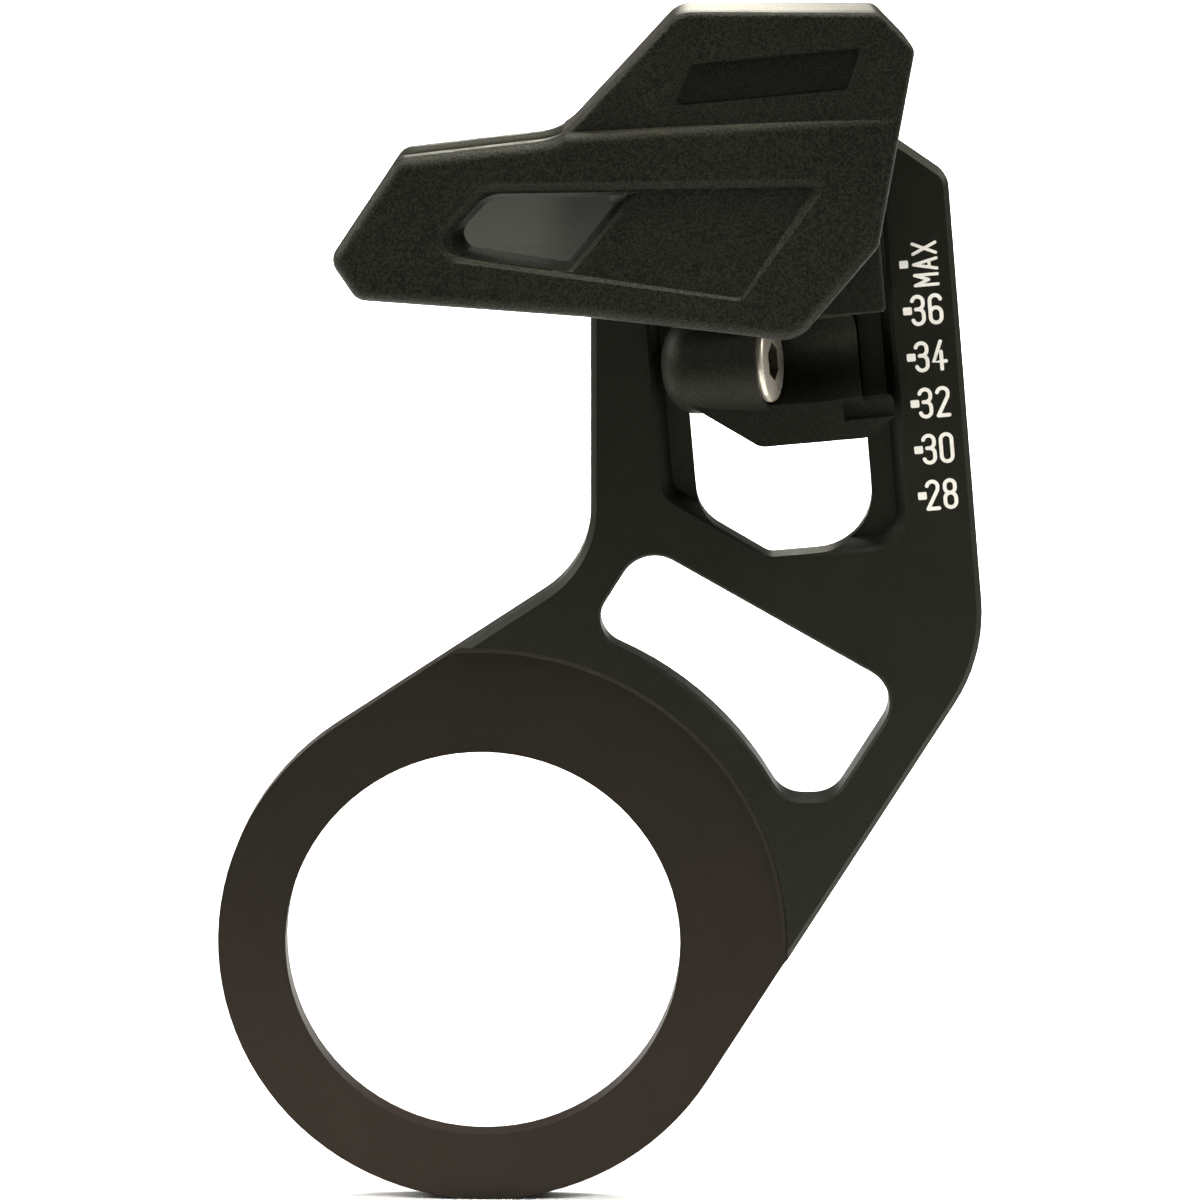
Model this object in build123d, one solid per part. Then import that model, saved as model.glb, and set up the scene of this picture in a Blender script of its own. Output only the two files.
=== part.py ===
from build123d import *
from math import asin, atan2, cos, radians, sin, tan
import os

# Frame: origin on the bottom-bracket axis, at the face that seats on the shell.
# +Z is up, +X is towards the front of the bicycle, and -Y is outboard.
# Depths are distances outboard of the shell face, and a negative depth is inboard of it.

# Ring that goes round the bottom-bracket cup
BORE_R = 17.5
RING_R = 23.5
RING_T = 2.5
SEAT_R = 27.0
SEAT_FILLET = 0.6

# Backplate, as seen from outboard
PLATE_T = 3.5
PLATE_CHAMFER = 0.5
LEFT_EDGE_X = 9.6
LEFT_SLOPE = 33.4
LEFT_CORNER_R = 9.0
RIGHT_SLOPE = 58.1
RIGHT_CORNER_R = 15.0
TOP_BEVEL_SLOPE = 34.2
TOP_LEFT_BEVEL = 5.5
TOP_CORNER_R = 1.8

# Edges round the window: the right edge and the top are measured from the window's pocket,
# the bevel down from the top, and the slot's top edge down from the window's knee
RIGHT_EDGE_X = 5.87
PLATE_TOP = 5.0
TOP_BEVEL_Z = 7.1
SLOT_TOP_Z = 5.13

# Lightening slot
SLOT_ARC_R = 29.7
SLOT_LEFT_X = 14.1
SLOT_TOP_SLOPE = 29.6
SLOT_WEB = 4.4
SLOT_END_Z = 13.5
SLOT_TOP_R = 3.2
SLOT_LEFT_R = 2.8
SLOT_CORNER_R = 3.2
SLOT_END_R = 3.0
CUT_EDGE = 0.25

# Most of a short edge's length that the radius of its corners may take
FILLET_SHARE = 0.75

# Adjustment window, in its own leaning frame: u runs across it and w runs up it
WINDOW_X = 25.7
WINDOW_Z = 48.6
WINDOW_LEAN = 5.3
WINDOW_HALF = 7.6
LEDGE_WIDTH = 2.8
LEDGE_T = 1.5
WINDOW_BOTTOM = 13.35
WINDOW_KNEE = -1.75
KNEE_SLOPE = 35.7
WINDOW_RIGHT_R = 5.0
WINDOW_LEFT_R = 4.0
POCKET_RIGHT_R = 3.2
POCKET_LEFT_R = 2.0
POCKET_SLOPE = 22.0
KNEE_R = 1.5
WINDOW_TOP_R = 2.5

# Height scale: two teeth of a chainring for each step
SCALE_STEP = 4.04
STEPS_UP = 3
TRAVEL_END_GAP = 0.3

# Chain channel
WALL_BACK = 6.5
WALL_T = 2.5
CHANNEL = 9.0
OUTER_T = 3.0
OUTER_EDGE_R = 0.5
ARM_EDGE_R = 1.1
WALL_EDGE_R = 0.8
WALL_DROP = 0.25
BRIDGE_T = 2.5
SEAM = 0.15

# Outline of the guide plates, seen from outboard: x, z and corner radius
TIP = (-11.65, 62.9, 1.5)
ARM_TOP = (-6.0, 71.3, 1.6)
ARM_ROOT = (7.5, 72.9, 4.5)
CROWN_LEFT = (17.1, 83.25, 2.5)
CROWN_RIGHT = (33.5, 83.25, 1.2)
CROWN_BEVEL = (36.4, 80.3, 1.2)
FLANK = (33.6, 64.1, 1.3)
TOE = (27.0, 56.2, 3.0)
SOLE = (9.45, 58.2, 0.0)
HEEL = (-9.4, 59.55, 1.5)

# Raised arm panel of the outer plate: its crease starts over the arm's root,
# and the crown beside it slopes back towards the left
CREASE_Z = 0.5
CREASE_SLOPE = 3.7
CREASE_STEP = 1.0
CREASE_END_STEP = 0.05

# Blank recess for a nameplate in the crown
NAMEPLATE = [(16.8, 75.6, 0.5), (18.2, 79.0, 0.5), (32.0, 80.4, 0.5), (30.8, 77.0, 0.5)]
NAMEPLATE_DEPTH = 0.2

# Recessed panel in the arm, shallower at its foot, and the view window through its left end
PANEL = [(-3.2, 64.6, 1.5), (0.9, 69.3, 1.5), (28.4, 69.75, 0.9), (29.0, 68.7, 0.6), (22.4, 59.6, 0.6),
         (-1.7, 62.85, 1.2)]
PANEL_DEPTH = 0.65
PANEL_FOOT_DEPTH = 0.2
PANEL_SLOPE = 50.0
VIEW_RIM = [(-1.9, 64.7, 1.4), (1.35, 68.4, 3.0), (13.5, 68.6, 0.4), (8.05, 62.0, 0.4), (-1.0, 63.3, 0.9)]
VIEW_BACK = [(-1.0, 65.0, 1.2), (1.75, 67.9, 2.4), (12.3, 67.9, 0.6), (8.05, 62.55, 0.4), (0.0, 63.85, 0.8)]
VIEW_LIP = 0.35
VIEW_LIP_LENGTH = 1.5
VIEW_LIP_SLOPE = 45.0

# Slider of the inner guide
SIDE_GAP = 0.3
FACE_GAP = 0.1
BLOCK_BOTTOM = 3.1
BLOCK_TOP = 8.6
BLOCK_FRONT = 7.0
BLOCK_CORNER_R = 0.5
STEM_LEFT = -3.0
STEM_RISE = 1.0
STEM_CORNER_R = 2.5
LIP_T = 1.7
LIP_REACH = 2.3
TAIL_LEFT = -5.0
TAIL_RIGHT = 9.85
TAIL_BACK = 4.0
TAIL_BOTTOM = 7.7
TAIL_TOP = 21.0
TAIL_CORNER_R = 0.6
TAIL_EDGE_R = 0.4
TAIL_RIM = 1.8
POINTER_LEFT = 5.6
POINTER_TOP = 0.05
POINTER_BOTTOM = 1.5
POINTER_RECESS = 0.7
POINTER_GAP = 0.4

# Clamp bolt, on an axis that leans outboard towards its head
BOLT_LEAN = 16.5
BOLT_UP = 4.1
BOLT_DEPTH = 6.2
BOLT_R = 2.0
BOLT_LENGTH = 5.0
BOLT_TIP = 0.4
HEAD_R = 3.5
HEAD_T = 2.8
HEAD_EDGE = 0.35
HEX_FLATS = 3.0
HEX_DEPTH = 1.6

# Barrel and trough for the bolt
BARREL_R = 4.2
BARREL_END_R = 2.6
BARREL_SHELL = 1.45
HEAD_PROUD = 0.45
HEAD_GAP = 0.25
SHANK_GAP = 0.2
SEAT_GAP = 0.02
SEAT_WALL = 1.2

# Clamp jaw
JAW_R = 3.0
JAW_LENGTH = 2.6
JAW_GAP = 0.2
JAW_LOOSEN = 0.7
THREAD_GAP = 0.03
LEG_T = 1.5
LEG_HALF = 2.6
HOOK_T = 1.7
HOOK_REACH = 1.8

# Screws that hold the outer plate, and the spigots that locate it
SCREW_R = 1.5
SCREW_LENGTH = 10.0
SCREW_HEAD_R = 2.75
SCREW_HEAD_T = 1.7
SCREW_HEX = 2.0
SCREW_HEX_DEPTH = 1.1
SCREW_GAP = 0.2
SCREW_INSET = 4.4
BOSS_R = 4.0
SPIGOT_R = 2.6
SPIGOT_LENGTH = 4.0
SPIGOT_GAP = 0.1

FAR = 200.0
LEAN = radians(WINDOW_LEAN)
FRONT = Plane(origin=(0, 0, 0), x_dir=(1, 0, 0), z_dir=(0, -1, 0))
WINDOW = Plane(origin=(WINDOW_X, 0, WINDOW_Z), x_dir=(cos(LEAN), 0, sin(LEAN)), z_dir=(0, -1, 0))

POCKET_HALF = WINDOW_HALF + LEDGE_WIDTH
WINDOW_TOP = BLOCK_TOP + STEPS_UP * SCALE_STEP + TRAVEL_END_GAP
WALL_FRONT = WALL_BACK + WALL_T
CHANNEL_FRONT = WALL_FRONT + CHANNEL
OUTER_FRONT = CHANNEL_FRONT + OUTER_T
BLOCK_HALF = WINDOW_HALF - SIDE_GAP
BLOCK_BACK = LEDGE_T + FACE_GAP
STEM_BOTTOM = STEM_RISE - BLOCK_BOTTOM
JAW_START = HEAD_T + SEAT_GAP + SEAT_WALL + JAW_GAP
JAW_END = JAW_START + JAW_LENGTH
BOLT_END = HEAD_T + BOLT_LENGTH
BARREL_END = BOLT_END + SHANK_GAP + BARREL_SHELL
SCREW_SEAT = WALL_BACK + SCREW_HEAD_T
SPIGOT_END = CHANNEL_FRONT - SPIGOT_LENGTH

BOLT_TURN = radians(BOLT_LEAN)
BOLT = Plane(
    origin=WINDOW.origin + WINDOW.y_dir * BOLT_UP + WINDOW.z_dir * BOLT_DEPTH,
    x_dir=WINDOW.y_dir,
    z_dir=WINDOW.x_dir * cos(BOLT_TURN) + WINDOW.z_dir * sin(BOLT_TURN),
)


def outline(corners):
    """Closed outline through (x, y, radius) corners, each rounded by its own radius."""
    face = make_face(Polyline(*[(x, y) for x, y, radius in corners], close=True))
    for x, y, radius in corners:
        if radius > 0:
            face = fillet(face.vertices().sort_by_distance((x, y, 0))[0], radius)
    return face


def prism(plane, face, near, far):
    """Solid on a flat outline, between two depths outboard of the plane."""
    return extrude(plane.offset(near) * face, far - near)


def box(plane, left, right, bottom, top, near, far):
    """Rectangular solid in a plane's own frame, between two depths."""
    face = outline([(left, bottom, 0), (right, bottom, 0), (right, top, 0), (left, top, 0)])
    return prism(plane, face, near, far)


def along_bolt(radius, start, end):
    """Round solid on the bolt's axis, from one distance below the head's outer face to another."""
    return extrude(BOLT.offset(-end) * Circle(radius), end - start)


def front_face(solid):
    """Face of a solid that lies furthest outboard."""
    return solid.faces().sort_by(Axis.Y)[0]


def round_front(solid, radius):
    """Solid with the rim of its outboard face rounded."""
    return solid.fillet(radius, front_face(solid).outer_wire().edges())


# Backplate

def in_window(u, w):
    """Place across the plate, x and z, of a point in the window's frame."""
    place = WINDOW.from_local_coords((u, w, 0))
    return place.X, place.Z


def plate_outline():
    """The ring, two straight edges tangent to it, and the arm above them."""
    left = radians(LEFT_SLOPE)
    right = radians(RIGHT_SLOPE)
    left_corner_z = (RING_R + LEFT_EDGE_X * sin(left)) / cos(left)
    edge_x, edge_z = in_window(POCKET_HALF + RIGHT_EDGE_X, 0)
    drop = (RING_R + edge_z * cos(right) - edge_x * sin(right)) / cos(right - LEAN)
    top_z = in_window(POCKET_HALF, WINDOW_TOP)[1] + PLATE_TOP
    bevel_z = top_z - TOP_BEVEL_Z
    bevel_x = edge_x - (bevel_z - edge_z) * tan(LEAN)
    top_x = bevel_x - TOP_BEVEL_Z / tan(radians(TOP_BEVEL_SLOPE))
    bevel_r = min(TOP_CORNER_R, FILLET_SHARE * TOP_BEVEL_Z / sin(radians(TOP_BEVEL_SLOPE)))
    arm = outline([
        (-RING_R * sin(left), RING_R * cos(left), 0),
        (LEFT_EDGE_X, left_corner_z, LEFT_CORNER_R),
        (LEFT_EDGE_X, top_z - TOP_LEFT_BEVEL, TOP_CORNER_R),
        (LEFT_EDGE_X + TOP_LEFT_BEVEL, top_z, TOP_CORNER_R),
        (top_x, top_z, bevel_r),
        (bevel_x, bevel_z, bevel_r),
        (*in_window(POCKET_HALF + RIGHT_EDGE_X, -drop), RIGHT_CORNER_R),
        (RING_R * sin(right), -RING_R * cos(right), 0),
        (0, 0, 0),
    ])
    return arm + Circle(RING_R)


def slot_outline():
    """Lightening slot: an arc round the ring's seat, an edge along the window and ends along the plate's edge."""
    right = radians(RIGHT_SLOPE)
    fall = tan(radians(SLOT_TOP_SLOPE))
    reach = RING_R - SLOT_WEB
    knee_x, knee_z = in_window(WINDOW_KNEE, -WINDOW_BOTTOM)
    top_z = knee_z - SLOT_TOP_Z + (knee_x - SLOT_LEFT_X) * fall
    corner_x = (top_z + SLOT_LEFT_X * fall + reach / cos(right)) / (tan(right) + fall)
    corner_z = corner_x * tan(right) - reach / cos(right)
    end_x = (SLOT_END_Z + reach / cos(right)) / tan(right)
    wedge = Polyline((SLOT_LEFT_X, top_z), (corner_x, corner_z), (end_x, SLOT_END_Z),
                     (SLOT_LEFT_X - (top_z - SLOT_END_Z) / tan(right), SLOT_END_Z), close=True)
    face = make_face(wedge) - Circle(SLOT_ARC_R)
    places = [corner.center() for corner in face.vertices().sort_by(Axis.Y)]
    end_r = min(SLOT_END_R, FILLET_SHARE * face.edges().sort_by(Axis.Y)[0].length)
    left_half = FILLET_SHARE * face.edges().sort_by(Axis.X)[0].length / 2
    top_r = min(SLOT_TOP_R, left_half * tan(radians(180 - SLOT_TOP_SLOPE - RIGHT_SLOPE) / 2))
    left_r = min(SLOT_LEFT_R, left_half * tan((right + asin(places[3].X / SLOT_ARC_R)) / 2))
    for place, radius in zip(places, [end_r, end_r, SLOT_CORNER_R, left_r, top_r]):
        face = fillet(face.vertices().sort_by_distance(place)[0], radius)
    return face


def window_outline(half, left_r, right_r):
    """Outline that the window and its pocket share, with a slanting knee at the lower left."""
    knee_top = (WINDOW_KNEE + half) * tan(radians(KNEE_SLOPE)) - WINDOW_BOTTOM
    return outline([
        (-half, WINDOW_TOP, WINDOW_TOP_R),
        (half, WINDOW_TOP, WINDOW_TOP_R),
        (half, -WINDOW_BOTTOM, right_r),
        (WINDOW_KNEE, -WINDOW_BOTTOM, KNEE_R),
        (-half, knee_top, left_r),
    ])


def make_backplate():
    plate = prism(FRONT, plate_outline(), 0, PLATE_T)
    plate -= prism(FRONT, slot_outline(), -PLATE_T, 2 * PLATE_T)
    pocket = window_outline(POCKET_HALF, POCKET_LEFT_R, POCKET_RIGHT_R)
    plate -= extrude(WINDOW.offset(PLATE_T) * pocket, LEDGE_T - PLATE_T, taper=POCKET_SLOPE)
    for wire in front_face(plate).inner_wires():
        plate = plate.chamfer(CUT_EDGE, None, wire.edges())
    plate = plate.chamfer(PLATE_CHAMFER, None, front_face(plate).outer_wire().edges())
    plate -= prism(WINDOW, window_outline(WINDOW_HALF, WINDOW_LEFT_R, WINDOW_RIGHT_R), -PLATE_T, 2 * PLATE_T)
    seat = extrude(FRONT.offset(RING_T) * Circle(SEAT_R), PLATE_T)
    seat = fillet(seat.edges().sort_by(Axis.Y)[-1], SEAT_FILLET)
    return plate - seat - FRONT * Cylinder(BORE_R, 3 * PLATE_T)


# Guide plates

def lowered(corner, neighbour, drop):
    """Corner moved down along the line of the edge that it shares with a neighbour."""
    share = drop / (corner[1] - neighbour[1])
    return corner[0] + share * (neighbour[0] - corner[0]), corner[1] - drop, corner[2]


def guide_outline(drop=0.0):
    """Outline that both guide plates share, with the top edge of the arm lowered by a drop."""
    return outline([TIP, lowered(ARM_TOP, TIP, drop), lowered(ARM_ROOT, CROWN_LEFT, drop), CROWN_LEFT,
                    CROWN_RIGHT, CROWN_BEVEL, FLANK, TOE, SOLE, HEEL])


def screw_places():
    """Screw axes, as far from the crown's top edge as from the edges beside it."""
    slant = atan2(CROWN_LEFT[1] - ARM_ROOT[1], CROWN_LEFT[0] - ARM_ROOT[0]) / 2
    bevel = atan2(CROWN_RIGHT[1] - CROWN_BEVEL[1], CROWN_BEVEL[0] - CROWN_RIGHT[0]) / 2
    height = CROWN_LEFT[1] - SCREW_INSET
    return [(CROWN_LEFT[0] + SCREW_INSET * tan(slant), height),
            (CROWN_RIGHT[0] - SCREW_INSET * tan(bevel), height)]


def at_screws(radius, near, far):
    """Round solids on both screw axes, between two depths."""
    return Part() + [prism(FRONT, Pos(*place) * Circle(radius), near, far) for place in screw_places()]


def bridge_outline():
    """Band along the crown's edges that closes the channel above the chain."""
    band = guide_outline() - offset(guide_outline(), -BRIDGE_T)
    crown = make_face(Polyline(
        (ARM_ROOT[0], ARM_ROOT[1] - 2 * BRIDGE_T), (ARM_ROOT[0], FAR), (FAR, FAR), (FAR, CROWN_BEVEL[1]),
        (CROWN_RIGHT[0], CROWN_BEVEL[1] - BRIDGE_T), (CROWN_LEFT[0], ARM_ROOT[1]), close=True))
    return band & crown


def make_slider():
    """Block that slides in the window, with the barrel, the pointer and the lip behind the plate."""
    knee_top = (WINDOW_KNEE + BLOCK_HALF) * tan(radians(KNEE_SLOPE)) - BLOCK_BOTTOM
    point = POCKET_HALF - POINTER_GAP
    keel = outline([
        (-BLOCK_HALF, BLOCK_TOP, WINDOW_TOP_R),
        (BLOCK_HALF, BLOCK_TOP, WINDOW_TOP_R),
        (BLOCK_HALF, POINTER_TOP, 0),
        (point, POINTER_TOP, BLOCK_CORNER_R),
        (point, -POINTER_BOTTOM, BLOCK_CORNER_R),
        (BLOCK_HALF, -BLOCK_BOTTOM, BLOCK_CORNER_R),
        (WINDOW_KNEE, -BLOCK_BOTTOM, KNEE_R),
        (-BLOCK_HALF, knee_top, BLOCK_CORNER_R),
    ])
    stem = outline([
        (STEM_LEFT, BLOCK_TOP, 0),
        (BLOCK_HALF, BLOCK_TOP, WINDOW_TOP_R),
        (BLOCK_HALF, STEM_BOTTOM, STEM_CORNER_R),
        (STEM_LEFT, STEM_BOTTOM, 0),
    ])
    barrel = along_bolt(BARREL_R, HEAD_PROUD, BARREL_END)
    barrel = fillet(barrel.edges().sort_by(Axis(BOLT.origin, BOLT.z_dir))[0], BARREL_END_R)
    slider = prism(WINDOW, keel, BLOCK_BACK, BLOCK_FRONT)
    slider -= box(WINDOW, BLOCK_HALF, FAR, -BLOCK_BOTTOM, POINTER_TOP, BLOCK_BACK, PLATE_T)
    slider -= box(WINDOW, POINTER_LEFT, FAR, -POINTER_BOTTOM, POINTER_TOP, BLOCK_FRONT - POINTER_RECESS, FAR)
    slider += barrel - box(WINDOW, -FAR, FAR, -FAR, FAR, -FAR, BLOCK_BACK)
    slider += prism(WINDOW, stem, -FACE_GAP - LIP_T, BLOCK_BACK)
    slider += box(WINDOW, STEM_LEFT, BLOCK_HALF + LIP_REACH, STEM_BOTTOM, BLOCK_TOP,
                  -FACE_GAP - LIP_T, -FACE_GAP)
    return slider


def leg_left():
    """Left side of the jaw's leg: clear of the window's edge when the bolt is loosened."""
    return -WINDOW_HALF + JAW_LOOSEN * cos(BOLT_TURN) + JAW_GAP


def bolt_room():
    """Counterbore and tool trough, shank hole and room for the jaw, all on the bolt's axis."""
    slack = JAW_LOOSEN * cos(BOLT_TURN) + JAW_GAP
    room = along_bolt(HEAD_R + HEAD_GAP, -FAR, HEAD_T + SEAT_GAP)
    room += along_bolt(BOLT_R + SHANK_GAP, HEAD_T, BOLT_END + SHANK_GAP)
    room += along_bolt(JAW_R + JAW_GAP, JAW_START - JAW_GAP, JAW_END + JAW_LOOSEN + JAW_GAP)
    room += box(WINDOW, leg_left() - slack, leg_left() + LEG_T + JAW_GAP, BOLT_UP - LEG_HALF - JAW_GAP,
                BOLT_UP + LEG_HALF + JAW_GAP, 0, BOLT_DEPTH - BOLT_R)
    return room


def make_inner_guide():
    tail = outline([
        (TAIL_LEFT, TAIL_BOTTOM, TAIL_CORNER_R),
        (TAIL_RIGHT, TAIL_BOTTOM, TAIL_CORNER_R),
        (TAIL_RIGHT, TAIL_TOP, TAIL_CORNER_R),
        (TAIL_LEFT, TAIL_TOP, TAIL_CORNER_R),
    ])
    guide = round_front(prism(FRONT, guide_outline(WALL_DROP), WALL_BACK, WALL_FRONT), WALL_EDGE_R)
    guide += round_front(prism(WINDOW, tail, TAIL_BACK, WALL_FRONT), TAIL_EDGE_R)
    guide -= box(WINDOW, TAIL_LEFT + TAIL_RIM, TAIL_RIGHT - TAIL_RIM, BLOCK_TOP + TAIL_RIM,
                 TAIL_TOP - TAIL_RIM, 0, WALL_BACK)
    guide += prism(FRONT, bridge_outline(), WALL_BACK, CHANNEL_FRONT - SEAM)
    guide += at_screws(BOSS_R, WALL_BACK, CHANNEL_FRONT - SEAM)
    guide += make_slider()
    guide -= bolt_room()
    guide -= at_screws(SCREW_HEAD_R + SCREW_GAP, 0, SCREW_SEAT)
    guide -= at_screws(SCREW_R + SCREW_GAP, 0, CHANNEL_FRONT)
    guide -= at_screws(SPIGOT_R + SPIGOT_GAP, SPIGOT_END - SPIGOT_GAP, CHANNEL_FRONT)
    return guide


def panel_room():
    """Recess of the arm's panel, the view window through it and the lip on the window's right edge."""
    top = PANEL[2][1]
    tilt = atan2(PANEL_DEPTH - PANEL_FOOT_DEPTH, top - PANEL[4][1])
    floor = Plane(origin=(0, PANEL_DEPTH - OUTER_FRONT, top), x_dir=(1, 0, 0),
                  z_dir=(0, -cos(tilt), sin(tilt)))
    room = extrude(FRONT.offset(OUTER_FRONT) * outline(PANEL), -PANEL_DEPTH, taper=PANEL_SLOPE)
    room &= box(floor, -FAR, FAR, -FAR, FAR, 0, OUTER_T)
    view_front = OUTER_FRONT - PANEL_DEPTH
    room += prism(FRONT, outline(VIEW_RIM), view_front, OUTER_FRONT)
    view_ends = [FRONT.offset(view_front) * outline(VIEW_RIM),
                 FRONT.offset(CHANNEL_FRONT) * outline(VIEW_BACK)]
    room += loft(view_ends, ruled=True)
    (top_x, top_z, _), (foot_x, foot_z, _) = VIEW_RIM[2:4]
    reach = VIEW_LIP / sin(atan2(top_z - foot_z, top_x - foot_x))
    lip = outline([(top_x + reach, top_z - top, 0), (foot_x + reach, foot_z - top, 0),
                   (foot_x - VIEW_LIP_LENGTH, foot_z - top, 0), (top_x - VIEW_LIP_LENGTH, top_z - top, 0)])
    return room + extrude(floor * lip, -VIEW_LIP, taper=VIEW_LIP_SLOPE)


def make_outer_guide():
    tilt = atan2(CREASE_STEP - CREASE_END_STEP, CROWN_BEVEL[0] - ARM_ROOT[0])
    crown = Plane(origin=(ARM_ROOT[0], CREASE_STEP - OUTER_FRONT, 0), x_dir=(cos(tilt), -sin(tilt), 0),
                  z_dir=(-sin(tilt), -cos(tilt), 0))
    plate = prism(FRONT, guide_outline(), CHANNEL_FRONT, OUTER_FRONT)
    plate -= box(crown, -FAR, FAR, -FAR, FAR, 0, OUTER_T)
    plate = round_front(plate, OUTER_EDGE_R)
    nameplate = outline([(x - ARM_ROOT[0], z, radius) for x, z, radius in NAMEPLATE])
    plate -= prism(crown, nameplate, -NAMEPLATE_DEPTH, OUTER_T)

    rise = tan(radians(CREASE_SLOPE))
    crease_z = ARM_ROOT[1] + CREASE_Z
    below = make_face(Polyline((-FAR, 0), (FAR, 0), (FAR, crease_z + (FAR - ARM_ROOT[0]) * rise),
                               (-FAR, crease_z - (FAR + ARM_ROOT[0]) * rise), close=True))
    arm = prism(FRONT, guide_outline() & below, CHANNEL_FRONT, OUTER_FRONT)
    plate += round_front(arm, ARM_EDGE_R)
    plate -= panel_room()
    plate += at_screws(SPIGOT_R, SPIGOT_END, CHANNEL_FRONT)
    plate -= at_screws(SCREW_R + THREAD_GAP, SPIGOT_END, SCREW_SEAT + SCREW_LENGTH + SCREW_GAP)
    return plate


# Fasteners

def hexagon(flats):
    """Socket outline, by its width across flats."""
    return RegularPolygon(flats / 2, 6, major_radius=False)


def make_clamp_bolt():
    head = along_bolt(HEAD_R, 0, HEAD_T)
    head = fillet(head.edges().sort_by(Axis(BOLT.origin, BOLT.z_dir))[-1], HEAD_EDGE)
    shank = along_bolt(BOLT_R, HEAD_T, BOLT_END)
    shank = chamfer(shank.edges().sort_by(Axis(BOLT.origin, BOLT.z_dir))[0], BOLT_TIP)
    return head + shank - extrude(BOLT * hexagon(HEX_FLATS), -HEX_DEPTH)


def make_clamp_jaw():
    left = leg_left()
    bottom = BOLT_UP - LEG_HALF
    top = BOLT_UP + LEG_HALF
    nut = along_bolt(JAW_R, JAW_START, JAW_END)
    nut += box(WINDOW, left, left + LEG_T, bottom, top, -FACE_GAP - HOOK_T, BOLT_DEPTH - BOLT_R - JAW_GAP)
    nut += box(WINDOW, -WINDOW_HALF - HOOK_REACH, left + LEG_T, bottom, top, -FACE_GAP - HOOK_T, -FACE_GAP)
    return nut - along_bolt(BOLT_R + THREAD_GAP, 0, BOLT_END + JAW_LENGTH)


def make_outer_guide_screws():
    heads = at_screws(SCREW_HEAD_R, WALL_BACK, SCREW_SEAT)
    sockets = [extrude(FRONT.offset(WALL_BACK) * Pos(*place) * hexagon(SCREW_HEX), SCREW_HEX_DEPTH)
               for place in screw_places()]
    return heads + at_screws(SCREW_R, SCREW_SEAT, SCREW_SEAT + SCREW_LENGTH) - sockets


NODES = {
    "backplate": make_backplate,
    "inner_guide": make_inner_guide,
    "outer_guide": make_outer_guide,
    "outer_guide_screws": make_outer_guide_screws,
    "clamp_bolt": make_clamp_bolt,
    "clamp_jaw": make_clamp_jaw,
}

os.makedirs("parts", exist_ok=True)
for name, make in NODES.items():
    export_step(make(), f"parts/{name}.step")
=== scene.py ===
import bmesh
import bpy
from math import cos, radians, sin
from mathutils import Matrix, Vector


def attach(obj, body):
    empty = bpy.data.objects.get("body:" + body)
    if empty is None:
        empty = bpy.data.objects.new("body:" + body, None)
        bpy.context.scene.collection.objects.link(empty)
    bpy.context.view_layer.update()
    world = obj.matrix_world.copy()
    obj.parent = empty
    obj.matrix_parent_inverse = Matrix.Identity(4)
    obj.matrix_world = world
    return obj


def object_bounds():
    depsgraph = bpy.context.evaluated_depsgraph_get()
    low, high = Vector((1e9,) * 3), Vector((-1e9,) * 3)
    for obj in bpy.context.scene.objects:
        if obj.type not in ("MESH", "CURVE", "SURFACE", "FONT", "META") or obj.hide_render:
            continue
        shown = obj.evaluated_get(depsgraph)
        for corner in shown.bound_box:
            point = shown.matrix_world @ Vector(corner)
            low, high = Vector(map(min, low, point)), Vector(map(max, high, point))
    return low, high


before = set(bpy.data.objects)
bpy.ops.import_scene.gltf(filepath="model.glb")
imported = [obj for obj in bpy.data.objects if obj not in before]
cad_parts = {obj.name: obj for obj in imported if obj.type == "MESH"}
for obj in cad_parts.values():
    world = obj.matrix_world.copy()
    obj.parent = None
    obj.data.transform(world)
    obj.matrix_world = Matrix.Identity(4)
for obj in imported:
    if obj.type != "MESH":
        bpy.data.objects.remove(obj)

MM = 0.001
CAD_BOX = [list(corner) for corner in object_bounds()]

# Camera, fitted to the bore, the ring and the plate's corners in the photograph
CAMERA_PLACE = Vector((17.067, -400.0, 106.041)) * MM
CAMERA_AIM = Vector((10.357, 0.0, 30.677)) * MM
CAMERA_LENS = 138.98
CAMERA_SENSOR = 36.0
CAMERA_CLIP = 0.01

# Soft boxes: place, aim and size in metres, spread in degrees, power in watts, and colour
WARM = (1.0, 0.95, 0.8)
NEUTRAL = (1.0, 0.985, 0.95)
LIGHTS = {
    "top_soft": ((0.015, -0.1, 0.6), (0.015, -0.015, 0.06), (0.2, 0.12), 30, 0.08, WARM),
    "front_soft": ((0.12, -0.38, 0.72), (0.015, -0.01, 0.05), (0.3, 0.3), 30, 0.16, NEUTRAL),
    "left_soft": ((-0.45, 0.0, 0.31), (0.01, -0.01, 0.06), (0.4, 0.3), 60, 0.55, NEUTRAL),
    "right_soft": ((0.46, 0.02, 0.36), (0.01, -0.01, 0.06), (0.35, 0.3), 60, 0.4, NEUTRAL),
    "crown_strip": ((-0.008, 0.5, 0.172), (-0.008, -0.015, 0.068), (0.11, 0.05), 10, 0.0038, WARM),
    "floor_soft": ((0.0, 1.2, 0.95), (0.0, 1.2, 0.0), (0.9, 2.0), 60, 30.0, NEUTRAL),
}
ROOM_LIGHT = 0.1
FLOOR_HALF = 8.0

# Sizes shared with the solids, in millimetres
SEAT_R = 27.0
RING_T = 2.5
PLATE_T = 3.5
WINDOW_X = 25.7
WINDOW_Z = 48.6
WINDOW_LEAN = radians(5.3)
SCALE_STEP = 4.04
WALL_FRONT = 9.0
CROWN_BACK = 19.0
HEAD_FACE = Vector((25.321, -6.2, 52.682))
BOLT_AXIS = Vector((0.954722, -0.284015, 0.088567))
NAMEPLATE = [(16.8, 75.6), (18.2, 79.0), (32.0, 80.4), (30.8, 77.0)]

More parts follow.
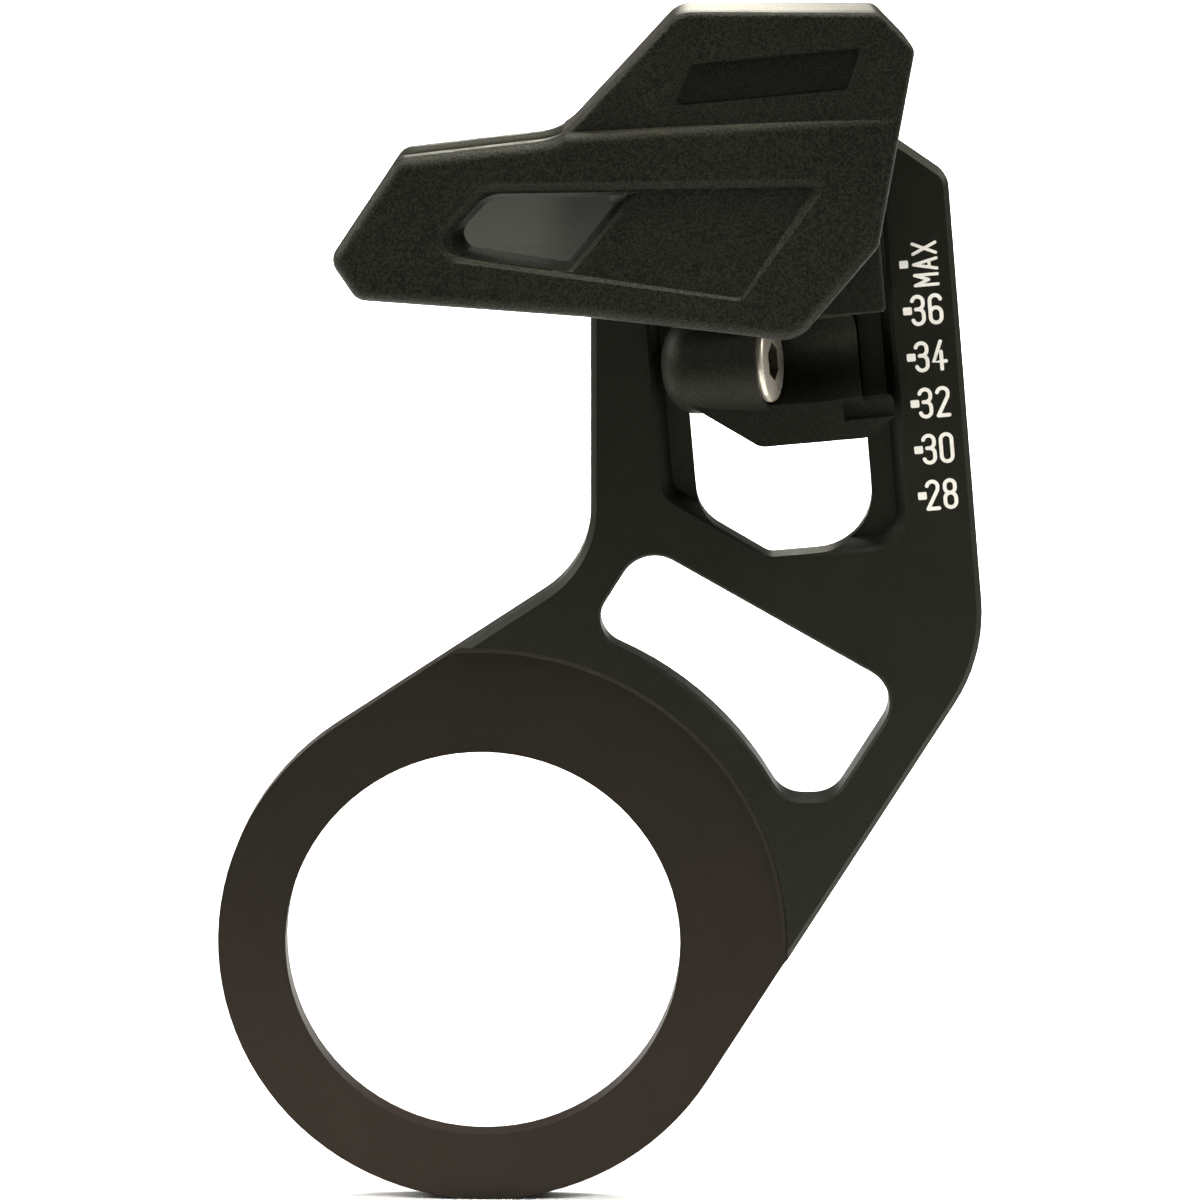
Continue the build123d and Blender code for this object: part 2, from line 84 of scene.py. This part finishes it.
# Reach of each finish and each painted shade on its piece, in millimetres
SEAT_MARGIN = 0.3
# height over which the seat's painted shade runs, from light at the bottom to dark at the top
SEAT_SHADE_REACH = 26.0
WALL_BAND = 0.02
# reach of the lighter grey band on the inner wall's front face, fading out upwards and to the right
WALL_GREY_FADE_Z = (68.5, 69.8)
WALL_GREY_FADE_X = (13.0, 19.0)
# reach and margin of the painted shade inside the head's hex socket
SOCKET_REACH = 2.6
SOCKET_MARGIN = 0.05

# Noises of the finishes: cells in a metre, detail and roughness
ARM_CLOUD = (90.0, 3.0, 0.6)
ARM_GRAIN = (5200.0, 2.0, 0.6)
SEAT_CLOUD = (45.0, 1.0, 0.5)
SEAT_GROOVES = (1.0, 2.0, 0.7)
PLASTIC_FINE = (6400.0, 2.0, 0.5)
PLASTIC_COARSE = (1900.0, 2.0, 0.5)
PLASTIC_CLOUD = (110.0, 2.0, 0.5)
WALL_GREY_STREAKS = (1.0, 3.0, 0.6)
STEEL_GRAIN = (900.0, 2.0, 0.6)
STEEL_CLOUD = (420.0, 2.0, 0.5)
OXIDE_GRAIN = (2200.0, 2.0, 0.6)
PAINT_CLOUD = (700.0, 2.0, 0.6)
PAPER_CLOUD = (3.0, 2.0, 0.5)

# The grooves and the streaks take their cells from a stretched place instead
GROOVE_STRETCH = 6000.0
STREAK_STRETCH = (60.0, 60.0, 900.0)

# Spans of a noise's values, and of the shares worked out from them
FULL_SPAN = (0.0, 1.0)
FALLING_SPAN = (1.0, 0.0)
WIDE_SPAN = (0.2, 0.8)
USUAL_SPAN = (0.3, 0.7)
NARROW_SPAN = (0.35, 0.65)
SPECK_SPAN = (0.42, 0.58)

# Shares of the noises in the tones and heights
ARM_CLOUD_TONE = (0.0, 0.4)
ARM_GRAIN_TONE = (0.0, 0.6)
SEAT_CLOUD_TONE = (0.0, 0.4)
# share of the seat's painted shade: lightest at the bottom, none at the top
SEAT_SHADE_TONE = (0.6, 0.0)
SPECK_TONE = (0.0, 0.85)
PLASTIC_CLOUD_TONE = (0.0, 0.15)
SPECK_FINE = 0.85
SPECK_COARSE = 0.15
HEIGHT_FINE = 0.7
HEIGHT_COARSE = 0.5

# Colours, a darker and a lighter one where a noise mixes them
SHEEN_TINT = (0.95, 1.0, 0.8, 1)
ARM_COLOURS = ((0.0035, 0.0036, 0.0024, 1), (0.0112, 0.0114, 0.0082, 1))
SEAT_COLOURS = ((0.0072, 0.0042, 0.0032, 1), (0.0175, 0.0096, 0.0082, 1))
CAGE_COLOUR = (0.0096, 0.0092, 0.0071)
RECESS_COLOUR = (0.006, 0.006, 0.005, 1)
SLIDER_COLOUR = (0.0115, 0.0112, 0.0086)
WALL_GREY_COLOURS = ((0.068, 0.073, 0.063, 1), (0.092, 0.097, 0.086, 1))
PLATED_COLOURS = ((0.9, 0.82, 0.66, 1), (0.95, 0.9, 0.78, 1))
# colour of the painted shade inside the hex socket
SOCKET_SHADE_COLOUR = (0.14, 0.11, 0.075, 1)
OXIDE_COLOURS = ((0.018, 0.018, 0.019, 1), (0.04, 0.04, 0.042, 1))
PAINT_COLOURS = ((0.88, 0.86, 0.78, 1), (0.95, 0.94, 0.88, 1))
PAPER_COLOURS = ((0.9, 0.9, 0.895, 1), (0.93, 0.93, 0.925, 1))

# Roughness at both ends of a noise, and the other settings of the finishes
PLATE_ROUGH = (0.45, 0.58)
PLATE_ROUGH_DRIFT = (-0.03, 0.03)
PLATE_IOR = 1.3
PLASTIC_ROUGH = (0.56, 0.42)
RECESS_ROUGH_SHARE = (1.0, 0.6)
STEEL_ROUGH = (0.27, 0.31)
OXIDE_ROUGH = (0.3, 0.45)
METAL_SHARE = 0.6
PAINT_ROUGH = (0.5, 0.65)
PAPER_ROUGH = 0.9

# Depth of the bumps in millimetres, and their strength
PLATE_BUMP = (0.003, 0.6)
CAGE_BUMP = (0.1, 1.0)
SLIDER_BUMP = (0.02, 1.0)
OXIDE_BUMP = (0.005, 0.6)

# Height scale, in millimetres: dots in a column beside the window, and a chainring size beside each
SCALE_LABELS = ("28", "30", "32", "34", "36", "MAX")
REST_LABEL = "32"
DOT_U = 11.86
DOT_W = -1.06
DOT_WIDE = 0.76
DOT_HIGH = 0.67
DOT_ROUND = 0.13
DIGITS_U = 1.66
DIGIT_PITCH = 1.52
DIGIT_HALF_WIDE = 0.47
DIGIT_HALF_HIGH = 1.19
DIGIT_WAIST = 0.09
DIGIT_STROKE = 0.33
DIGIT_TURN = radians(0)
HOOK_DEGREES = 165
SIX_RISE = 0.03
WORD_U = 1.83
WORD_W = -0.1
WORD_PITCH = 1.36
WORD_HALF_WIDE = 0.44
WORD_HALF_HIGH = 0.98
WORD_STROKE = 0.27
WORD_TURN = radians(90)
PAINT_T = 0.012
PAINT_STEP_SHARE = 0.02
WELD_REACH = 0.0001
ARC_STEPS = 10

scene = bpy.context.scene


def look(place, aim):
    return (aim - place).to_track_quat("-Z", "Y").to_euler()


def add_camera():
    data = bpy.data.cameras.new("camera")
    data.lens = CAMERA_LENS
    data.sensor_width = CAMERA_SENSOR
    data.sensor_fit = "HORIZONTAL"
    data.clip_start = CAMERA_CLIP
    camera = bpy.data.objects.new("camera", data)
    camera.location = CAMERA_PLACE
    camera.rotation_euler = look(CAMERA_PLACE, CAMERA_AIM)
    scene.collection.objects.link(camera)
    scene.camera = camera


def add_light(name, place, aim, size, spread, power, colour):
    data = bpy.data.lights.new(name, "AREA")
    data.shape = "RECTANGLE"
    data.size, data.size_y = size
    data.spread = radians(spread)
    data.energy = power
    data.color = colour
    light = bpy.data.objects.new(name, data)
    light.location = place
    light.rotation_euler = look(Vector(place), Vector(aim))
    light.visible_camera = False
    scene.collection.objects.link(light)


class Nodes:
    """A material's node tree, with short calls for the nodes it needs."""

    SOCKETS = {"colour": "Base Color", "rough": "Roughness", "metal": "Metallic", "normal": "Normal",
               "specular": "Specular IOR Level", "ior": "IOR", "tint": "Specular Tint"}

    def __init__(self, name):
        self.material = bpy.data.materials.new(name)
        self.material.use_nodes = True
        self.tree = self.material.node_tree
        self.shader = self.tree.nodes["Principled BSDF"]
        self.place = self.new("ShaderNodeTexCoord").outputs["Object"]

    def new(self, kind, **settings):
        node = self.tree.nodes.new(kind)
        for key, value in settings.items():
            setattr(node, key, value)
        return node

    def link(self, source, target):
        self.tree.links.new(source, target)

    def put(self, socket, value):
        if isinstance(value, bpy.types.NodeSocket):
            self.link(value, socket)
        else:
            socket.default_value = value

    def set(self, **values):
        """Sets or links the shader's sockets, and gives back the material."""
        for key, value in values.items():
            self.put(self.shader.inputs[self.SOCKETS[key]], value)
        return self.material

    def linked(self, key):
        """The output that one of the shader's sockets is linked to so far."""
        return self.shader.inputs[self.SOCKETS[key]].links[0].from_socket

    def math(self, operation, first, second=0.0, third=0.0):
        node = self.new("ShaderNodeMath", operation=operation)
        for socket, value in zip(node.inputs, (first, second, third)):
            self.put(socket, value)
        return node.outputs[0]

    def both(self, first, second):
        return self.math("MULTIPLY", first, second)

    def add(self, first, second):
        return self.math("ADD", first, second)

    def above(self, value, limit):
        return self.math("GREATER_THAN", value, limit)

    def below(self, value, limit):
        return self.math("LESS_THAN", value, limit)

    def measure(self, operation, vector):
        """The place's distance from a point, or its product with a direction."""
        node = self.new("ShaderNodeVectorMath", operation=operation)
        self.link(self.place, node.inputs[0])
        node.inputs[1].default_value = vector
        return node.outputs["Value"]

    def stretch(self, scale):
        node = self.new("ShaderNodeMapping")
        node.inputs["Scale"].default_value = scale
        self.link(self.place, node.inputs["Vector"])
        return node.outputs[0]

    def axes(self):
        node = self.new("ShaderNodeSeparateXYZ")
        self.link(self.place, node.inputs[0])
        return node.outputs

    def noise(self, settings, place=None):
        node = self.new("ShaderNodeTexNoise")
        self.link(place or self.place, node.inputs["Vector"])
        for name, number in zip(("Scale", "Detail", "Roughness"), settings):
            node.inputs[name].default_value = number
        return node.outputs["Fac"]

    def remap(self, value, span, result):
        node = self.new("ShaderNodeMapRange")
        self.put(node.inputs["Value"], value)
        for name, number in zip(("From Min", "From Max", "To Min", "To Max"), (*span, *result)):
            node.inputs[name].default_value = number
        return node.outputs["Result"]

    def blend(self, share, first, second):
        node = self.new("ShaderNodeMix", data_type="RGBA")
        self.put(node.inputs["Factor"], share)
        for name, value in (("A", first), ("B", second)):
            socket = [s for s in node.inputs if s.name == name and s.type == "RGBA"][0]
            self.put(socket, value)
        return [s for s in node.outputs if s.type == "RGBA"][0]

    def bump(self, height, depth, strength):
        node = self.new("ShaderNodeBump")
        node.inputs["Strength"].default_value = strength
        node.inputs["Distance"].default_value = depth * MM
        self.link(height, node.inputs["Height"])
        return node.outputs["Normal"]

    def inside(self, corners):
        """1 inside a convex outline seen from the front, with its corners in millimetres, clockwise."""
        x, _, z = self.axes()
        share = None
        for (x0, z0), (x1, z1) in zip(corners, corners[1:] + corners[:1]):
            across = self.math("MULTIPLY_ADD", x, z1 - z0, (z0 * (x1 - x0) - x0 * (z1 - z0)) * MM)
            right = self.above(across, self.math("MULTIPLY", z, x1 - x0))
            share = right if share is None else self.both(share, right)
        return share


def anodised_plate():
    """Black anodised aluminium: fine blasted grain on the arm, turned grooves on the ring's seat, and
    painted shade on the seat, lighter towards the bottom and darker towards the top.
    """
    m = Nodes("anodised_plate")
    x, y, z = m.axes()
    radius = m.math("SQRT", m.add(m.math("MULTIPLY", x, x), m.math("MULTIPLY", z, z)))
    seat = m.both(m.below(radius, SEAT_R * MM), m.above(y, -(RING_T + SEAT_MARGIN) * MM))
    cloud = m.noise(ARM_CLOUD)
    grain = m.noise(ARM_GRAIN)
    grooves = m.noise(SEAT_GROOVES, groove_place(m, radius))
    arm_cloud = m.remap(cloud, USUAL_SPAN, ARM_CLOUD_TONE)
    arm_grain = m.remap(grain, NARROW_SPAN, ARM_GRAIN_TONE)
    seat_cloud = m.remap(m.noise(SEAT_CLOUD), NARROW_SPAN, SEAT_CLOUD_TONE)
    # painted shade: the seat's colour runs lighter towards the bottom and darker towards the top
    seat_painted_shade = m.remap(z, (-SEAT_SHADE_REACH * MM, SEAT_SHADE_REACH * MM), SEAT_SHADE_TONE)
    arm_colour = m.blend(m.add(arm_cloud, arm_grain), *ARM_COLOURS)
    seat_colour = m.blend(m.add(seat_cloud, seat_painted_shade), *SEAT_COLOURS)
    height = m.blend(seat, m.remap(grain, WIDE_SPAN, FULL_SPAN), m.remap(grooves, WIDE_SPAN, FULL_SPAN))
    rough = m.add(m.remap(height, FULL_SPAN, PLATE_ROUGH), m.remap(cloud, USUAL_SPAN, PLATE_ROUGH_DRIFT))
    return m.set(colour=m.blend(seat, arm_colour, seat_colour), rough=rough,
                 normal=m.bump(height, *PLATE_BUMP), ior=PLATE_IOR, tint=SHEEN_TINT)


def groove_place(m, radius):
    """Texture place that changes fast across the ring, and not at all round it."""
    node = m.new("ShaderNodeCombineXYZ")
    m.link(m.math("MULTIPLY", radius, GROOVE_STRETCH), node.inputs[0])
    return node.outputs[0]


def spark_plastic(name, colour, bump, contrast, gloss):
    """Moulded plastic with a spark-eroded grain."""
    m = Nodes(name)
    fine = m.noise(PLASTIC_FINE)
    coarse = m.noise(PLASTIC_COARSE)
    cloud = m.noise(PLASTIC_CLOUD)
    height = m.add(m.math("MULTIPLY", fine, HEIGHT_FINE), m.math("MULTIPLY", coarse, HEIGHT_COARSE))
    mixed = m.add(m.math("MULTIPLY", fine, SPECK_FINE), m.math("MULTIPLY", coarse, SPECK_COARSE))
    speck = m.remap(mixed, SPECK_SPAN, SPECK_TONE)
    tone = m.add(speck, m.remap(cloud, USUAL_SPAN, PLASTIC_CLOUD_TONE))
    dark = tuple((1.0 - contrast) * c for c in colour) + (1,)
    light = tuple((1.0 + contrast) * c for c in colour) + (1,)
    m.set(colour=m.blend(tone, dark, light), rough=m.remap(fine, USUAL_SPAN, PLASTIC_ROUGH),
          normal=m.bump(height, *bump), specular=gloss, tint=SHEEN_TINT)
    return m


def cage_plastic():
    """Grained plastic, with a smooth darker floor in the nameplate's recess."""
    m = spark_plastic("cage_plastic", CAGE_COLOUR, CAGE_BUMP, contrast=0.98, gloss=0.21)
    _, y, _ = m.axes()
    recess = m.both(m.inside(NAMEPLATE), m.below(y, -CROWN_BACK * MM))
    smooth = m.math("MULTIPLY", m.linked("rough"), m.remap(recess, FULL_SPAN, RECESS_ROUGH_SHARE))
    return m.set(colour=m.blend(recess, m.linked("colour"), RECESS_COLOUR), rough=smooth)


def slider_plastic():
    """Smoother plastic, lighter streaked grey on a band of the inner wall's front face, low and towards
    the left.
    """
    m = spark_plastic("slider_plastic", SLIDER_COLOUR, SLIDER_BUMP, contrast=0.4, gloss=0.17)
    x, y, z = m.axes()
    wall = m.both(m.above(y, -(WALL_FRONT + WALL_BAND) * MM), m.below(y, -(WALL_FRONT - WALL_BAND) * MM))
    low = m.remap(z, [edge * MM for edge in WALL_GREY_FADE_Z], FALLING_SPAN)
    left = m.remap(x, [edge * MM for edge in WALL_GREY_FADE_X], FALLING_SPAN)
    # lighter streaked grey on the inner wall's front face, below and left of the fades
    wall_grey = m.both(m.both(wall, low), left)
    streak = m.noise(WALL_GREY_STREAKS, m.stretch(STREAK_STRETCH))
    grey = m.blend(streak, *WALL_GREY_COLOURS)
    return m.set(colour=m.blend(wall_grey, m.linked("colour"), grey))


def bright_steel():
    """Bright plated steel, with painted shade inside the head's hex socket."""
    m = Nodes("bright_steel")
    grain = m.noise(STEEL_GRAIN)
    plated = m.blend(m.noise(STEEL_CLOUD), *PLATED_COLOURS)
    face = HEAD_FACE.dot(BOLT_AXIS)
    # painted shade: the inside of the hex socket is coloured dark, where shade falls
    sunk = m.below(m.measure("DOT_PRODUCT", BOLT_AXIS), (face - SOCKET_MARGIN) * MM)
    near = m.below(m.measure("DISTANCE", HEAD_FACE * MM), SOCKET_REACH * MM)
    colour = m.blend(m.both(sunk, near), plated, SOCKET_SHADE_COLOUR)
    return m.set(colour=colour, metal=METAL_SHARE, rough=m.remap(grain, USUAL_SPAN, STEEL_ROUGH))


def black_oxide():
    m = Nodes("black_oxide_steel")
    grain = m.noise(OXIDE_GRAIN)
    return m.set(colour=m.blend(grain, *OXIDE_COLOURS), metal=METAL_SHARE,
                 rough=m.remap(grain, USUAL_SPAN, OXIDE_ROUGH), normal=m.bump(grain, *OXIDE_BUMP))


def scale_paint():
    m = Nodes("scale_paint")
    cloud = m.noise(PAINT_CLOUD)
    colour = m.blend(m.remap(cloud, USUAL_SPAN, FULL_SPAN), *PAINT_COLOURS)
    return m.set(colour=colour, rough=m.remap(cloud, USUAL_SPAN, PAINT_ROUGH))


def floor_paper():
    m = Nodes("floor_paper")
    return m.set(colour=m.blend(m.noise(PAPER_CLOUD), *PAPER_COLOURS), rough=PAPER_ROUGH, specular=0.0)


def dress(node, material):
    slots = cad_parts[node].data.materials
    slots.clear()
    slots.append(material)


def arc(centre, radius, start, end):
    """Points on an arc of a circle, with its angles in degrees."""
    angles = [radians(start + (end - start) * step / ARC_STEPS) for step in range(ARC_STEPS + 1)]
    return [Vector((centre[0] + radius * cos(a), centre[1] + radius * sin(a))) for a in angles]


def line(*points):
    return [Vector(point) for point in points]


def oval(half_wide, bottom, top):
    """Closed path of two half circles and two straight sides."""
    upper = arc((0, top - half_wide), half_wide, 0, 180)
    lower = arc((0, bottom + half_wide), half_wide, 180, 360)
    return upper + lower


def digit_strokes(digit):
    """Paths of a digit round its centre, each with whether it is closed."""
    w = DIGIT_HALF_WIDE
    h = DIGIT_HALF_HIGH
    waist = DIGIT_WAIST
    bowl_top = arc((0, h - w), w, HOOK_DEGREES, 0)
    bowl_low = arc((0, w - h), w, 0, -HOOK_DEGREES)
    if digit == "0":
        return [(oval(w, -h, h), True)]
    if digit == "2":
        hook = bowl_top + line((0.9 * w, 0.35 * h), (-w, -h))
        return [(hook, False), (line((-w, -h), (w, -h)), False)]
    if digit == "3":
        upper = bowl_top + arc((0, waist + w), w, 0, -90) + line((-0.35 * w, waist))
        lower = arc((0, waist - w), w, 90, 0) + bowl_low
        return [(upper, False), (lower, False)]
    if digit == "4":
        return [(line((0.35 * w, h), (-1.1 * w, -0.45 * h), (1.15 * w, -0.45 * h)), False),
                (line((0.35 * w, 0.25 * h), (0.35 * w, -h)), False)]
    if digit == "6":
        hook = line((-w, w - h)) + arc((0, h - w), w, 180, 180 - HOOK_DEGREES)
        return [(oval(w, -h, waist + SIX_RISE), True), (hook, False)]
    return [(oval(0.93 * w, waist, h), True), (oval(w, -h, waist), True)]


def letter_strokes(letter):
    """Paths of a letter round its centre, each with whether it is closed."""
    w = WORD_HALF_WIDE
    h = WORD_HALF_HIGH
    if letter == "M":
        return [(line((-w, -h), (-w, h)), False), (line((-w, h), (0, -0.2 * h)), False),
                (line((0, -0.2 * h), (w, h)), False), (line((w, h), (w, -h)), False)]
    if letter == "A":
        return [(line((-w, -h), (0, h)), False), (line((0, h), (w, -h)), False),
                (line((-0.6 * w, -0.35 * h), (0.6 * w, -0.35 * h)), False)]
    return [(line((-w, -h), (w, h)), False), (line((-w, h), (w, -h)), False)]


def ribbon(path, closed, half):
    """Both edges of a stroke of even width."""
    edges = []
    last = len(path) - 1
    for i, point in enumerate(path):
        before = path[i - 1] if closed or i > 0 else point
        after = path[(i + 1) % len(path)] if closed or i < last else point
        along = (after - before).normalized()
        side = Vector((-along.y, along.x)) * half
        edges.append((point + side, point - side))
    return edges


def round_cap(point, towards, half):
    """Points round the end of a stroke, from its left edge to its right edge."""
    along = (point - towards).normalized()
    side = Vector((-along.y, along.x))
    turns = [radians(180.0 * step / ARC_STEPS) for step in range(ARC_STEPS + 1)]
    return [point + (side * cos(t) + along * sin(t)) * half for t in turns]


def scale_place(u, w, depth):
    """Point of the plate's front in metres, from the window's own leaning frame."""
    x = WINDOW_X + u * cos(WINDOW_LEAN) - w * sin(WINDOW_LEAN)
    z = WINDOW_Z + u * sin(WINDOW_LEAN) + w * cos(WINDOW_LEAN)
    return Vector((x, -(PLATE_T + depth), z)) * MM


class Marks:
    """Flat painted strokes on the plate, gathered in one mesh."""

    def __init__(self):
        self.mesh = bmesh.new()
        self.count = 0

    def face(self, points, depth):
        return self.mesh.faces.new([self.mesh.verts.new(scale_place(p.x, p.y, depth)) for p in points])

    def stroke(self, path, closed, width):
        """One stroke. Each later one lies a little prouder, so that none coincide."""
        half = width / 2
        depth = PAINT_T * (1.0 + PAINT_STEP_SHARE * self.count)
        self.count += 1
        edges = ribbon(path, closed, half)
        following = edges[1:] + edges[:1] if closed else edges[1:]
        faces = []
        for (a, b), (c, d) in zip(edges, following):
            faces.append(self.face([a, c, d, b], depth))
        if not closed:
            faces.append(self.face(round_cap(path[-1], path[-2], half), depth))
            faces.append(self.face(round_cap(path[0], path[1], half), depth))
        self.thicken(faces, depth)

    def sign(self, strokes, width, angle, centre):
        """A digit or a letter, turned and moved to its place."""
        turn = Matrix.Rotation(angle, 2)
        for path, closed in strokes:
            self.stroke([turn @ point + centre for point in path], closed, width)

    def dot(self, centre):
        """A rounded rectangle."""
        across = DOT_WIDE / 2 - DOT_ROUND
        up = DOT_HIGH / 2 - DOT_ROUND
        corners = [(across, up, 0), (-across, up, 90), (-across, -up, 180), (across, -up, 270)]
        points = []
        for x, y, start in corners:
            points += [centre + p for p in arc((x, y), DOT_ROUND, start, start + 90)]
        self.thicken([self.face(points, PAINT_T)], PAINT_T)

    def thicken(self, faces, depth):
        """Welds the faces of one mark and gives them the paint's thickness, down to the plate."""
        corners = list(dict.fromkeys(v for f in faces for v in f.verts))
        bmesh.ops.remove_doubles(self.mesh, verts=corners, dist=WELD_REACH * MM)
        faces = [f for f in faces if f.is_valid]
        grown = bmesh.ops.extrude_face_region(self.mesh, geom=faces)
        new = [v for v in grown["geom"] if isinstance(v, bmesh.types.BMVert)]
        bmesh.ops.translate(self.mesh, verts=new, vec=(0, depth * MM, 0))

    def finish(self, name):
        bmesh.ops.recalc_face_normals(self.mesh, faces=self.mesh.faces)
        data = bpy.data.meshes.new(name)
        self.mesh.to_mesh(data)
        self.mesh.free()
        piece = bpy.data.objects.new(name, data)
        scene.collection.objects.link(piece)
        return piece


def add_scale():
    marks = Marks()
    rest_step = SCALE_LABELS.index(REST_LABEL)
    for step, label in enumerate(SCALE_LABELS):
        dot = Vector((DOT_U, DOT_W + (step - rest_step) * SCALE_STEP))
        marks.dot(dot)
        for place, sign in enumerate(label):
            offset = place - (len(label) - 1) / 2
            if sign.isdigit():
                centre = dot + Vector((DIGITS_U + offset * DIGIT_PITCH, 0))
                marks.sign(digit_strokes(sign), DIGIT_STROKE, DIGIT_TURN, centre)
            else:
                centre = dot + Vector((WORD_U, WORD_W + offset * WORD_PITCH))
                marks.sign(letter_strokes(sign), WORD_STROKE, WORD_TURN, centre)
    piece = marks.finish("scale_marks")
    piece.data.materials.append(scale_paint())
    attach(piece, "backplate")


def add_floor():
    low = CAD_BOX[0][2]
    corners = [(x * FLOOR_HALF, y * FLOOR_HALF, low) for x, y in ((-1, -1), (1, -1), (1, 1), (-1, 1))]
    mesh = bpy.data.meshes.new("floor")
    mesh.from_pydata(corners, [], [(0, 1, 2, 3)])
    mesh.materials.append(floor_paper())
    floor = bpy.data.objects.new("floor", mesh)
    scene.collection.objects.link(floor)


def add_world():
    """Dim studio walls."""
    world = bpy.data.worlds.new("studio")
    world.use_nodes = True
    back = world.node_tree.nodes["Background"]
    back.inputs["Color"].default_value = (*NEUTRAL, 1)
    back.inputs["Strength"].default_value = ROOM_LIGHT
    scene.world = world


scene.view_settings.view_transform = "Standard"
add_camera()
add_world()
add_floor()
for name, settings in LIGHTS.items():
    add_light(name, *settings)

dress("backplate", anodised_plate())
dress("outer_guide", cage_plastic())
dress("inner_guide", slider_plastic())
dress("outer_guide_screws", black_oxide())
dress("clamp_bolt", bright_steel())
dress("clamp_jaw", black_oxide())
add_scale()
